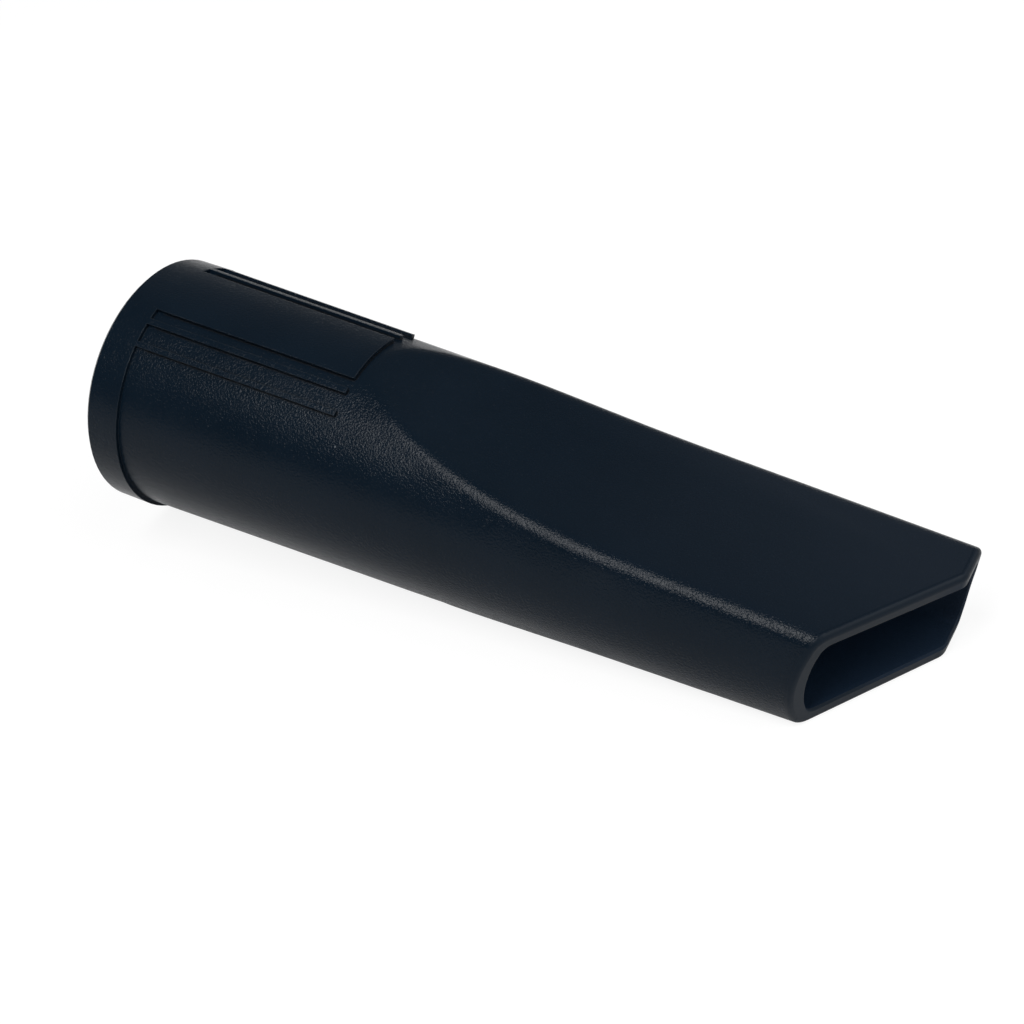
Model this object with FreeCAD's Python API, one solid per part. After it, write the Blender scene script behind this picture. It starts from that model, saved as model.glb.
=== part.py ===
import FreeCAD, Part
import math
import os

V = FreeCAD.Vector
X_AXIS = V(1, 0, 0)
Y_AXIS = V(0, 1, 0)
Z_AXIS = V(0, 0, 1)
ORIGIN = V(0, 0, 0)

# Vacuum crevice tool: one moulded piece, a round socket that flattens into a wide, shallow mouth.
# It is drawn along +X from the socket end to the mouth, then laid down as it comes to rest.
# All sizes are in millimetres and degrees.

# Socket, a sliding fit over a 32 mm wand
bore_d = 32.0
bore_depth = 36.0
lead_in = 0.8
stop_step = 0.6
collar_wall = 3.0
collar_len = 5.6
collar_step = 0.6
collar_bevel = 0.5

# Body, a shallow cone that both scoops are cut from
body_taper_deg = 1.43
nose_x = 40.5

# Scooped top and bottom of the flat end
flat_start_x = 85.5
blade_taper_deg = 2.25
blade_half_h = 7.7
blade_wall = 2.2
mouth_side_wall = 1.9

# Ridges between the scoops and the round sides, soft at the nose and tighter from there on
ridge_r = 2.6
ridge_r_nose = 4.0
ridge_soft_len = 19.0
core_ridge_r = 1.7

# Mouth, cut oblique in plan with a blunt leading tip on the far side
mouth_x = 124.2
mouth_skew_deg = 32.0
mouth_lean_deg = 3.2
tip_start_y = 6.75
tip_round = 3.0
far_round = 2.6
lip_round = 0.8
lip_bevel = 0.3

# Grip on the top of the socket: a raised panel with two ribs on each side of it
grip_gap = 1.4
panel_half_deg = 17.1
rib_a_deg = 23.9
rib_a_w = 0.95
rib_b_deg = 35.4
rib_b_w = 0.85

# Sizes that follow from the ones above
bore_r = bore_d / 2
collar_r = bore_r + collar_wall
grip_end_x = nose_x - grip_gap
over_x = mouth_x + far_round
clear = 4 * collar_r


def body_radius(x):
    return collar_r - collar_step - (x - collar_len) * math.tan(math.radians(body_taper_deg))


def polygon_face(points):
    corners = [V(x, 0, z) for x, z in points]
    return Part.Face(Part.makePolygon(corners + corners[:1]))


def turned(face, degrees):
    return face.revolve(ORIGIN, X_AXIS, degrees)


def mirrored(shape, normal):
    return shape.mirror(ORIGIN, normal)


def touches(point, shape):
    return Part.Vertex(point).distToShape(shape)[0] < 1e-4


def edge_middle(edge):
    return edge.valueAt((edge.FirstParameter + edge.LastParameter) / 2)


def scoop_cutter(depth):
    """Everything above the scooped face, with that face moved inward by depth."""
    a = math.radians(blade_taper_deg)
    up = V(math.sin(a), 0, math.cos(a))
    along = V(math.cos(a), 0, -math.sin(a))
    flat = V(flat_start_x, 0, blade_half_h + (mouth_x - flat_start_x) * math.tan(a))
    rise = V(nose_x, 0, body_radius(nose_x)) - flat
    radius = rise.dot(rise) / (2 * rise.dot(up))
    centre = flat + up * radius
    radius = radius + depth

    def on_arc(x):
        return V(x, 0, centre.z - math.sqrt(radius ** 2 - (x - centre.x) ** 2))

    start = on_arc(nose_x - collar_r / 2)
    soft_end = on_arc(nose_x + ridge_soft_len)
    flat_end = centre - up * radius
    tail = flat_end + along * (over_x + far_round - flat_start_x)
    edges = [
        Part.Arc(start, on_arc((start.x + soft_end.x) / 2), soft_end).toShape(),
        Part.Arc(soft_end, on_arc((soft_end.x + flat_end.x) / 2), flat_end).toShape(),
        Part.makeLine(flat_end, tail),
        Part.makeLine(tail, V(tail.x, 0, clear)),
        Part.makeLine(V(tail.x, 0, clear), V(start.x, 0, clear)),
        Part.makeLine(V(start.x, 0, clear), start),
    ]
    face = Part.Face(Part.Wire(edges))
    face.translate(V(0, -clear, 0))
    return face.extrude(V(0, 2 * clear, 0))


def both_scoops_cut(shape, depth):
    top = scoop_cutter(depth)
    return shape.cut(top).cut(mirrored(top, Z_AXIS)).Solids[0]


def ridge_edges(shape, x_limit):
    """The ridge edges, where a scooped face meets the round of the cone, that start before x_limit."""
    found = []
    for edge in shape.Edges:
        xs = [v.Point.x for v in edge.Vertexes]
        runs_along = max(xs) - min(xs) > ridge_soft_len / 2
        if abs(edge_middle(edge).y) > 1.0 and runs_along and nose_x - 1.0 < min(xs) < x_limit:
            found.append(edge)
    return found


def outer_body():
    """Collar and cone with both scoops, made as a half so that each ridge softens toward its nose."""
    half = turned(polygon_face([
        (0, 0),
        (0, collar_r - collar_bevel),
        (collar_bevel, collar_r),
        (collar_len, collar_r),
        (collar_len, body_radius(collar_len)),
        (over_x, body_radius(over_x)),
        (over_x, 0),
    ]), 180)
    half = both_scoops_cut(half, 0)
    half = half.makeFillet(ridge_r, ridge_r_nose, ridge_edges(half, nose_x + 1.0))
    return half.fuse(mirrored(half, Y_AXIS)).removeSplitter()


def grip_pad(centre_deg, width_deg):
    """One raised strip of the grip, level with the collar where it leaves it."""
    profile = polygon_face([
        (collar_len, body_radius(collar_len) - collar_step),
        (collar_len, collar_r),
        (grip_end_x, body_radius(grip_end_x) + collar_step),
        (grip_end_x, body_radius(grip_end_x) - collar_step),
    ])
    profile.rotate(ORIGIN, X_AXIS, centre_deg - width_deg / 2)
    return turned(profile, width_deg)


def grip_pads():
    pads = [grip_pad(0, 2 * panel_half_deg)]
    for deg, width in ((rib_a_deg, rib_a_w), (rib_b_deg, rib_b_w)):
        width_deg = math.degrees(width / collar_r)
        pads.append(grip_pad(deg, width_deg))
        pads.append(grip_pad(-deg, width_deg))
    return pads


def inner_core():
    """The air passage: wand bore with its lead-in, stop shoulder, then the narrowing throat."""
    throat_r = bore_r - stop_step
    mouth_r = body_radius(mouth_x) - mouth_side_wall
    slope = (throat_r - mouth_r) / (mouth_x - bore_depth)
    bore = turned(polygon_face([
        (-lead_in, 0),
        (-lead_in, bore_r + 2 * lead_in),
        (lead_in, bore_r),
        (bore_depth, bore_r),
        (bore_depth, 0),
    ]), 360)
    throat = turned(polygon_face([
        (bore_depth, 0),
        (bore_depth, throat_r),
        (over_x, throat_r - slope * (over_x - bore_depth)),
        (over_x, 0),
    ]), 180)
    throat = both_scoops_cut(throat, blade_wall)
    throat = throat.makeFillet(core_ridge_r, ridge_edges(throat, over_x))
    throat = throat.fuse(mirrored(throat, Y_AXIS)).removeSplitter()
    return bore.fuse(throat)


def mouth_keeper():
    """The space behind the mouth cut, leaned so that the lower lip sits back."""
    skew = math.radians(mouth_skew_deg)
    turn = tip_round * math.tan(skew / 2)
    side_y = body_radius(mouth_x) + lip_bevel
    edge_y = 2 * collar_r
    knee_a = V(mouth_x - turn * math.sin(skew), tip_start_y - turn * math.cos(skew), 0)
    knee_b = V(mouth_x, tip_start_y + turn, 0)
    knee_mid = knee_b + V(math.cos(skew / 2) - 1, -math.sin(skew / 2), 0) * tip_round
    far_mid = V(mouth_x, side_y, 0) - V(1, 1, 0) * far_round * (1 - math.sqrt(0.5))
    far_a = V(mouth_x, side_y - far_round, 0)
    far_b = V(mouth_x - far_round, side_y, 0)
    high = V(far_b.x, edge_y, 0)
    back_high = V(-collar_r, edge_y, 0)
    back_low = V(-collar_r, -edge_y, 0)
    low = V(mouth_x - (edge_y + tip_start_y) * math.tan(skew), -edge_y, 0)
    edges = [
        Part.makeLine(low, knee_a),
        Part.Arc(knee_a, knee_mid, knee_b).toShape(),
        Part.makeLine(knee_b, far_a),
        Part.Arc(far_a, far_mid, far_b).toShape(),
        Part.makeLine(far_b, high),
        Part.makeLine(high, back_high),
        Part.makeLine(back_high, back_low),
        Part.makeLine(back_low, low),
    ]
    face = Part.Face(Part.Wire(edges))
    face.translate(V(0, 0, -clear))
    keeper = face.extrude(V(0, 0, 2 * clear))
    keeper.rotate(V(mouth_x, 0, blade_half_h), Y_AXIS, mouth_lean_deg)
    return keeper


def lip_edges(body, keeper, core, inner):
    """The inner or the outer edge loop of the rim that the mouth cut leaves."""
    cut = keeper.Shells[0]
    uses = {}
    for face in body.Faces:
        if all(touches(v.Point, cut) for v in face.Vertexes):
            for edge in face.Edges:
                uses.setdefault(edge.hashCode(), []).append(edge)
    loop = [found[0] for found in uses.values() if len(found) == 1]
    return [edge for edge in loop if touches(edge_middle(edge), core) == inner]


def crevice_tool():
    body = outer_body().fuse(grip_pads()).removeSplitter().Solids[0]
    core = inner_core()
    keeper = mouth_keeper()
    body = body.cut(core).common(keeper).Solids[0]
    body = body.makeFillet(lip_round, lip_edges(body, keeper, core, False)).Solids[0]
    return body.makeChamfer(lip_bevel, lip_edges(body, keeper, core, True)).Solids[0]


def resting_rotation(shape):
    """Turn that lays the tool on its lower nose and on both ends of its lower lip."""
    points = shape.tessellate(0.05)[0]
    middle = (nose_x + mouth_x) / 2
    belly = [q for q in points if q.x < middle]
    near_lip = [q for q in points if q.x > middle and q.y < 0]
    far_lip = [q for q in points if q.x > middle and q.y > 0]
    normal = Z_AXIS
    for _ in range(8):
        a = min(belly, key=normal.dot)
        b = min(near_lip, key=normal.dot)
        c = min(far_lip, key=normal.dot)
        normal = (b - a).cross(c - a).normalize()
    level = FreeCAD.Rotation(normal, Z_AXIS)
    ahead = level.multVec(X_AXIS)
    return FreeCAD.Rotation(Z_AXIS, -math.degrees(math.atan2(ahead.y, ahead.x))).multiply(level)


def resting_place(shape):
    """Resting turn, with the lowest point on the floor and the outline centred over the origin."""
    turn = resting_rotation(shape)
    points = [turn.multVec(q) for q in shape.tessellate(0.05)[0]]
    xs = [q.x for q in points]
    ys = [q.y for q in points]
    move = V(-(min(xs) + max(xs)) / 2, -(min(ys) + max(ys)) / 2, -min(q.z for q in points))
    return FreeCAD.Placement(move, turn)


tool = crevice_tool()
rest = resting_place(tool)
tool.Placement = rest

os.makedirs("parts", exist_ok=True)
tool.exportStep("parts/crevice_tool.step")
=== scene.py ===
import math

import bpy
from mathutils import Euler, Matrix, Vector

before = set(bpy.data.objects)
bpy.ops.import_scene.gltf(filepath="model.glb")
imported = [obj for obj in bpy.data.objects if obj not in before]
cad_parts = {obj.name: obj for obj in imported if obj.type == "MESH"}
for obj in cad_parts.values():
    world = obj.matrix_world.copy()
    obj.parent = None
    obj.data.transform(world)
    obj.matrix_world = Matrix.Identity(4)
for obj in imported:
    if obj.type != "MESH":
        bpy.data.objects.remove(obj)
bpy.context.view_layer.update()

# Lengths are in metres and colours are linear. A pair of numbers is the start and end of a span.

# Colours
BLACK_PLASTIC = (0.0027, 0.0070, 0.0130, 1.0)
BLACK_PLASTIC_RUBBED = (0.0034, 0.0082, 0.0150, 1.0)
# Painted light inside the air passage, lighter deeper in
INSIDE_PAINTED_LIGHT = (0.0046, 0.0118, 0.0245, 1.0)
INSIDE_PAINTED_LIGHT_DEEP = (0.0080, 0.0205, 0.0430, 1.0)
# Painted shade in the corners of the grip
CORNER_PAINTED_SHADE = (0.0010, 0.0018, 0.0030, 1.0)
# Painted sheen: a painted reflection on the flat end toward the mouth, and on its rim
MOUTH_PAINTED_SHEEN = (0.0085, 0.0134, 0.0210, 1.0)
# Painted highlight along the open edges, mottled
EDGE_PAINTED_HIGHLIGHT = (0.034, 0.041, 0.048, 1.0)
DUST_SPECK = (0.07, 0.08, 0.09, 1.0)
FLOOR_WHITE = (0.65, 0.65, 0.65, 1.0)
WHITE = (1.0, 1.0, 1.0, 1.0)

# Mouth of the tool: the upper corner where its oblique rim meets its blunt tip, and what each faces
MOUTH_CORNER = (0.06331, 0.00634, 0.01512)
OBLIQUE_RIM_FACING = (0.83121, -0.52670, -0.17797)
TIP_FACING = (0.98416, 0.00293, -0.17726)

# Middle line of the tool, from its socket end to its mouth
AXIS_START = (-0.06095, 0.0, 0.02231)
AXIS_DIRECTION = (0.99252, 0.0, -0.12212)

# Moulded grain, and the slow and quick variation of the plastic
GRAIN_SIZE = 0.00028
GRAIN_DEPTH = 0.000066
GRAIN_DETAIL = 1.5
GRAIN_WARP = 0.5
CLOUD_SCALE = 70.0
CLOUD_DETAIL = 3.0
CLOUD_SPREAD = (0.35, 0.65)
MOTTLE_SCALE = 420.0
MOTTLE_DETAIL = 2.0
MOTTLE_SPREAD = (0.3, 0.7)

# Gloss
SPECULAR_LEVEL = 0.105
PLASTIC_ROUGHNESS = (0.15, 0.21)
LIP_ROUGHNESS = 0.4
INSIDE_ROUGHNESS = 0.6
CORNER_ROUGHNESS = 0.75

# Smooth lip round the mouth, with the dark line where the grain starts
LIP_FADE = (0.0003, 0.0010)
LIP_LINE_DEPTH = 0.00095
LIP_LINE_WIDTH = 0.00022
LIP_LINE_SHARE = 0.7

# Painted sheen, a painted reflection, on the flat end, from its near side to its far side, and on the
# mouth's rim
SHEEN_REACH = 0.045
SHEEN_SIDES = (-0.012, 0.014)
SHEEN_SHARES = (0.45, 1.4)
FAR_EDGE_SIDES = (0.005, 0.014)
FAR_EDGE_SHARE = 0.9
FLAT_FACING = (0.7, 0.95)
RIM_DEPTH = 0.00025
RIM_SHARE = 0.36

# Air passage: how a wall of it faces the middle line, and how far in its colour changes. Its colours are
# painted light, lighter deeper in.
INSIDE_FACING = (-0.2, -0.5)
INSIDE_FADE = 0.022

# Eased edges and ridges
EDGE_SOFTNESS = 0.00016
EDGE_SAMPLES = 6
RIDGE_SOFTNESS = 0.0016
RIDGE_SAMPLES = 8
RIDGE_NOSE_FADE = (-0.020, -0.016)
RIDGE_LIP_FADE = (0.001, 0.003)

# Painted highlight on the open edges and painted shade in the corners of the grip, told apart by how open
# a place is
CORNER_REACH = 0.0008
CORNER_SAMPLES = 12
EDGE_TURN = (0.98, 0.85)
EDGE_OPENNESS = (0.75, 0.95)
EDGE_SHARES = (0.2, 1.0)
CORNER_OPENNESS = (0.76, 0.56)
GRIP_FADE = (-0.0525, -0.0515)

# Dust
SPECK_SPACING = 0.0048
SPECK_RADIUS = 0.00016
SPECK_CHANCE = (0.72, 1.0)

# Floor: how it glows and takes light where it is reflected, and where the camera sees it
FLOOR_SIZE = 20.0
FLOOR_ROUGHNESS = 0.9
FLOOR_GLOW = (0.1, 0.86)
FLOOR_SHADE = (0.75, 0.17)

# Lamps: a big soft one on the right, and a tall one in front for the glints
KEY_DIRECTION = (0.60, 0.10, 0.79)
KEY_DISTANCE = 1.6
KEY_SIZE = (1.2, 1.2)
KEY_POWER = 7.5
GLINT_DIRECTION = (-0.049, -0.557, 0.829)
GLINT_DISTANCE = 1.0
GLINT_SIZE = (0.28, 0.72)
GLINT_POWER = 7.4

# Room: dim in front, lighter at the back, light on the right and along the horizon
ROOM_FRONT = 0.10
ROOM_BACK = 0.22
ROOM_BACK_TURN = (-0.2, 0.5)
ROOM_RIGHT = 0.9
ROOM_RIGHT_TURN = (0.25, 0.75)
ROOM_HORIZON = 0.92
ROOM_HORIZON_RISE = (0.035, 0.09)

# Camera, fitted to the photograph
CAMERA_PLACE = (0.10460, -0.16871, 0.15280)
CAMERA_TURN_DEG = (54.682, 4.887, 28.499)
CAMERA_LENS_MM = 59.755
CAMERA_SENSOR_MM = 36.0
CAMERA_CLIP_START = 0.01

# Sockets of a Mix node for each kind of value: first input, second input, output
MIX_SOCKETS = {"VECTOR": (4, 5, 1), "RGBA": (6, 7, 2)}


class Nodes:
    """Short way to add nodes to one tree and to link them."""

    def __init__(self, tree):
        self.tree = tree

    def add(self, kind, settings=None, **inputs):
        node = self.tree.nodes.new(kind)
        for name, value in (settings or {}).items():
            setattr(node, name, value)
        for name, value in inputs.items():
            self.feed(node.inputs[name], value)
        return node

    def feed(self, socket, value):
        if isinstance(value, bpy.types.NodeSocket):
            self.tree.links.new(value, socket)
        else:
            socket.default_value = value

    def fill(self, node, *values):
        """Feed a node's first inputs, in their order."""
        for socket, value in zip(node.inputs, values):
            self.feed(socket, value)
        return node

    def math(self, operation, *values):
        return self.fill(self.add("ShaderNodeMath", {"operation": operation}), *values).outputs[0]

    def vector(self, operation, *values, output="Vector"):
        node = self.add("ShaderNodeVectorMath", {"operation": operation})
        return self.fill(node, *values).outputs[output]

    def dot(self, a, b):
        return self.vector("DOT_PRODUCT", a, b, output="Value")

    def remap(self, value, source, target=(0.0, 1.0), smooth=False):
        """Carry a value from the source span to the target span, and not past its ends."""
        node = self.add("ShaderNodeMapRange", {"interpolation_type": "SMOOTHSTEP" if smooth else "LINEAR"})
        return self.fill(node, value, *source, *target).outputs["Result"]

    def mix(self, kind, share, a, b):
        node = self.add("ShaderNodeMix", {"data_type": kind})
        first, second, result = MIX_SOCKETS[kind]
        self.feed(node.inputs[0], share)
        self.feed(node.inputs[first], a)
        self.feed(node.inputs[second], b)
        return node.outputs[result]

    def blend_colours(self, share, a, b):
        return self.mix("RGBA", share, a, b)

    def noise(self, place, scale, **inputs):
        return self.add("ShaderNodeTexNoise", Vector=place, Scale=scale, **inputs).outputs["Fac"]

    def eased_normal(self, radius, samples):
        return self.add("ShaderNodeBevel", {"samples": samples}, Radius=radius).outputs["Normal"]

    def axes(self, vector):
        return self.add("ShaderNodeSeparateXYZ", Vector=vector).outputs


def new_material(name):
    material = bpy.data.materials.new(name)
    material.use_nodes = True
    tree = material.node_tree
    return material, Nodes(tree), tree.nodes["Principled BSDF"]


def depth_behind_rim(n, place):
    """How far a place lies behind the rim of the mouth, from the part of it that is nearer."""
    offset = n.vector("SUBTRACT", MOUTH_CORNER, place)
    return n.math("MINIMUM", n.dot(offset, OBLIQUE_RIM_FACING), n.dot(offset, TIP_FACING))


def facing_inward(n, place, normal):
    """1 on the wall of the air passage, which faces the middle line, and 0 outside."""
    offset = n.vector("SUBTRACT", place, AXIS_START)
    foot = n.vector("MULTIPLY", AXIS_DIRECTION, n.dot(offset, AXIS_DIRECTION))
    outward = n.vector("NORMALIZE", n.vector("SUBTRACT", offset, foot))
    return n.remap(n.dot(normal, outward), INSIDE_FACING)


def painted_sheen(n, axes, normal, lip_depth):
    """Painted sheen, a painted reflection, on the flat end, heavier toward its mouth and its far edge, and
    on the mouth's rim.
    """
    toward_mouth = n.math("MULTIPLY", n.remap(lip_depth, (SHEEN_REACH, 0.0)),
                          n.remap(axes["Y"], SHEEN_SIDES, SHEEN_SHARES))
    far_edge = n.math("MULTIPLY", n.remap(axes["Y"], FAR_EDGE_SIDES, (0.0, FAR_EDGE_SHARE), smooth=True),
                      n.remap(axes["X"], (0.0, SHEEN_REACH)))
    flatness = n.remap(n.math("ABSOLUTE", n.axes(normal)["Z"]), FLAT_FACING)
    on_flat = n.math("MULTIPLY", n.math("ADD", toward_mouth, far_edge), flatness)
    return n.math("MAXIMUM", on_flat, n.remap(lip_depth, (RIM_DEPTH, 0.0), (0.0, RIM_SHARE)))


def lip_line(n, lip_depth):
    """Thin dark line where the smooth lip ends."""
    away = n.math("ABSOLUTE", n.math("SUBTRACT", lip_depth, LIP_LINE_DEPTH))
    return n.remap(away, (0.0, LIP_LINE_WIDTH), (LIP_LINE_SHARE, 0.0))


def dust_specks(n, place):
    """1 on a few tiny specks, at most one to a cell."""
    cells = n.add("ShaderNodeTexVoronoi", Vector=place, Scale=1.0 / SPECK_SPACING).outputs
    chance = n.add("ShaderNodeSeparateColor", Color=cells["Color"]).outputs["Red"]
    reach = n.remap(chance, SPECK_CHANCE, (0.0, SPECK_RADIUS / SPECK_SPACING))
    return n.math("LESS_THAN", cells["Distance"], reach)


def black_moulded_plastic():
    """Blue-black plastic with a fine moulded grain, smooth on the lip, with a painted highlight on its
    edges, painted shade in the grip's corners, a painted sheen toward the mouth and painted light inside.
    """
    material, n, shader = new_material("black_moulded_plastic")
    place = n.add("ShaderNodeTexCoord").outputs["Object"]
    axes = n.axes(place)
    normal = n.add("ShaderNodeNewGeometry").outputs["Normal"]
    lip_depth = depth_behind_rim(n, place)
    inside = facing_inward(n, place, normal)

    grain = n.noise(place, 1.0 / GRAIN_SIZE, Detail=GRAIN_DETAIL, Distortion=GRAIN_WARP)
    cloud = n.noise(place, CLOUD_SCALE, Detail=CLOUD_DETAIL)
    mottle = n.noise(place, MOTTLE_SCALE, Detail=MOTTLE_DETAIL)
    grained = n.remap(lip_depth, LIP_FADE, smooth=True)

    eased = n.eased_normal(EDGE_SOFTNESS, EDGE_SAMPLES)
    openness = n.add("ShaderNodeAmbientOcclusion", {"samples": CORNER_SAMPLES},
                     Distance=CORNER_REACH).outputs["AO"]
    edge = n.math("MULTIPLY", n.remap(n.dot(eased, normal), EDGE_TURN), n.remap(openness, EDGE_OPENNESS))
    edge_highlight = n.math("MULTIPLY", edge, n.remap(mottle, MOTTLE_SPREAD, EDGE_SHARES))
    corner = n.math("MULTIPLY", n.remap(openness, CORNER_OPENNESS), n.remap(axes["X"], GRIP_FADE))

    colour = n.blend_colours(n.remap(cloud, CLOUD_SPREAD), BLACK_PLASTIC, BLACK_PLASTIC_RUBBED)
    # Painted sheen: a painted reflection on the flat end toward the mouth, and on its rim
    colour = n.blend_colours(painted_sheen(n, axes, normal, lip_depth), colour, MOUTH_PAINTED_SHEEN)
    colour = n.blend_colours(lip_line(n, lip_depth), colour, BLACK_PLASTIC)
    # Painted light inside the air passage, lighter deeper in
    painted_passage_light = n.blend_colours(n.remap(lip_depth, (0.0, INSIDE_FADE)), INSIDE_PAINTED_LIGHT, INSIDE_PAINTED_LIGHT_DEEP)
    colour = n.blend_colours(inside, colour, painted_passage_light)
    # Painted shade in the grip's corners, where ambient occlusion finds little open air
    colour = n.blend_colours(corner, colour, CORNER_PAINTED_SHADE)
    # Painted highlight along the open edges, found by eased normals, mottled
    colour = n.blend_colours(edge_highlight, colour, EDGE_PAINTED_HIGHLIGHT)
    colour = n.blend_colours(dust_specks(n, place), colour, DUST_SPECK)

    roughness = n.remap(mottle, MOTTLE_SPREAD, PLASTIC_ROUGHNESS)
    roughness = n.remap(grained, (0.0, 1.0), (LIP_ROUGHNESS, roughness))
    roughness = n.remap(inside, (0.0, 1.0), (roughness, INSIDE_ROUGHNESS))
    roughness = n.remap(corner, (0.0, 1.0), (roughness, CORNER_ROUGHNESS))

    on_ridge = n.math("MULTIPLY", n.remap(axes["X"], RIDGE_NOSE_FADE, smooth=True),
                      n.remap(lip_depth, RIDGE_LIP_FADE, smooth=True))
    surface = n.mix("VECTOR", on_ridge, eased, n.eased_normal(RIDGE_SOFTNESS, RIDGE_SAMPLES))
    bump = n.add("ShaderNodeBump", Strength=1.0, Distance=GRAIN_DEPTH,
                 Height=n.math("MULTIPLY", grain, grained), Normal=surface)

    n.feed(shader.inputs["Base Color"], colour)
    n.feed(shader.inputs["Roughness"], roughness)
    n.feed(shader.inputs["Normal"], bump.outputs["Normal"])
    shader.inputs["Specular IOR Level"].default_value = SPECULAR_LEVEL
    return material


def white_floor():
    """White paper that shows as white, with the tool's soft shadow on it."""
    material, n, paper = new_material("white_floor")
    paper.inputs["Base Color"].default_value = FLOOR_WHITE
    paper.inputs["Roughness"].default_value = FLOOR_ROUGHNESS
    path = n.add("ShaderNodeLightPath").outputs
    by_camera = path["Is Camera Ray"]
    seen = n.math("MAXIMUM", by_camera, path["Is Glossy Ray"])
    seen = n.math("MAXIMUM", seen, path["Is Transmission Ray"])
    glow = n.add("ShaderNodeEmission", Color=WHITE, Strength=n.remap(by_camera, (0.0, 1.0), FLOOR_GLOW))
    shade = n.add("ShaderNodeBsdfDiffuse", Color=n.remap(by_camera, (0.0, 1.0), FLOOR_SHADE))
    bright = n.fill(n.add("ShaderNodeAddShader"), glow.outputs[0], shade.outputs[0])
    surface = n.fill(n.add("ShaderNodeMixShader"), seen, paper.outputs[0], bright.outputs[0])
    n.feed(n.tree.nodes["Material Output"].inputs["Surface"], surface.outputs[0])
    return material


def lay_floor():
    bpy.ops.mesh.primitive_plane_add(size=FLOOR_SIZE, location=(0, 0, 0))
    floor = bpy.context.object
    floor.name = "floor"
    floor.data.materials.append(white_floor())


def light_room():
    world = bpy.data.worlds.new("studio_room")
    bpy.context.scene.world = world
    world.use_nodes = True
    n = Nodes(world.node_tree)
    axes = n.axes(n.add("ShaderNodeTexCoord").outputs["Generated"])
    back = n.remap(axes["Y"], ROOM_BACK_TURN, (ROOM_FRONT, ROOM_BACK), smooth=True)
    right = n.remap(axes["X"], ROOM_RIGHT_TURN, (ROOM_FRONT, ROOM_RIGHT), smooth=True)
    horizon = n.remap(axes["Z"], ROOM_HORIZON_RISE, (ROOM_HORIZON, ROOM_FRONT), smooth=True)
    level = n.math("MAXIMUM", n.math("MAXIMUM", back, right), horizon)
    background = world.node_tree.nodes["Background"]
    background.inputs["Color"].default_value = WHITE
    n.feed(background.inputs["Strength"], level)


def soft_lamp(name, direction, distance, size, power):
    lamp = bpy.data.lights.new(name, "AREA")
    lamp.shape = "RECTANGLE"
    lamp.size, lamp.size_y = size
    lamp.energy = power
    holder = bpy.data.objects.new(name, lamp)
    holder.location = Vector(direction).normalized() * distance
    holder.rotation_euler = Vector(direction).to_track_quat("Z", "Y").to_euler()
    bpy.context.collection.objects.link(holder)


def place_camera():
    lens = bpy.data.cameras.new("camera")
    lens.sensor_width = CAMERA_SENSOR_MM
    lens.sensor_fit = "AUTO"
    lens.lens = CAMERA_LENS_MM
    lens.clip_start = CAMERA_CLIP_START
    camera = bpy.data.objects.new("camera", lens)
    camera.location = CAMERA_PLACE
    camera.rotation_euler = Euler([math.radians(a) for a in CAMERA_TURN_DEG], "XYZ")
    bpy.context.collection.objects.link(camera)
    bpy.context.scene.camera = camera


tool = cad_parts["crevice_tool"]
tool.data.materials.clear()
tool.data.materials.append(black_moulded_plastic())

lay_floor()
light_room()
soft_lamp("key_lamp", KEY_DIRECTION, KEY_DISTANCE, KEY_SIZE, KEY_POWER)
soft_lamp("glint_lamp", GLINT_DIRECTION, GLINT_DISTANCE, GLINT_SIZE, GLINT_POWER)
place_camera()
bpy.context.scene.view_settings.view_transform = "Standard"
